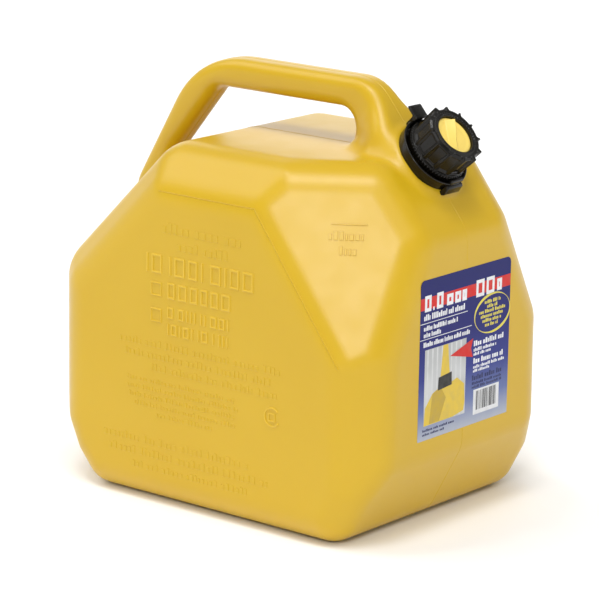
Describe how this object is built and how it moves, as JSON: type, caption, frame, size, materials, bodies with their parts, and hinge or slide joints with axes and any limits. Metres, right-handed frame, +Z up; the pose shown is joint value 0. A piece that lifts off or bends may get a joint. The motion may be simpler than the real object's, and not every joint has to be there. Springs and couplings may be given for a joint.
{
  "type": "jerry can",
  "caption": "Free-standing moulded plastic fuel can with a built-in top handle, an angled neck, a screw collar with a grip-fin stopper, a lock tab and a pouring spout stowed in the neck.",
  "frame": {"origin": "centre of the base, on the floor", "axes": "+X towards the neck and label end, +Y to the can's left side, +Z up; the handle runs along X in the plane Y = 0"},
  "size_m": [0.3499, 0.257, 0.3585],
  "materials": {
    "tank_yellow": "satin",
    "label_print": "gloss",
    "closure_black": "satin",
    "stopper_yellow": "satin",
    "spout_yellow": "satin",
    "seal_rubber": "matte"
  },
  "bodies": {
    "tank": {"tank_shell": "tank_yellow", "front_label": "label_print", "lock_ring": "closure_black"},
    "tab": {"lock_tab": "closure_black"},
    "spout": {"pour_spout": "spout_yellow", "spout_vent_tube": "spout_yellow", "spout_gasket": "seal_rubber"},
    "stopper": {"stopper_disk": "stopper_yellow", "stopper_gasket": "seal_rubber"},
    "collar": {"screw_collar": "closure_black"}
  },
  "joints": [
    {"name": "lock_tab_flex", "type": "hinge", "parent": "tank", "child": "tab", "pos_m": [0.11104, 0, 0.32413], "axis": [0, -1, 0], "range_deg": [0, 7], "stiffness_Nm_per_rad": 0.4},
    {"name": "spout_lift", "type": "slide", "parent": "tank", "child": "spout", "axis": [0.7455, 0, 0.6665], "range_m": [0, 0.2]},
    {"name": "stopper_lift", "type": "slide", "parent": "spout", "child": "stopper", "axis": [0.7455, 0, 0.6665], "range_m": [0, 0.0125]},
    {"name": "collar_turn", "type": "hinge", "parent": "stopper", "child": "collar", "pos_m": [0.1311, 0, 0.2978], "axis": [0.7455, 0, 0.6665], "range_deg": [0, 900]}
  ],
  "couplings": [
    {"joint": "stopper_lift", "follows": "collar_turn", "m_per_rad": 0.00079577}
  ]
}
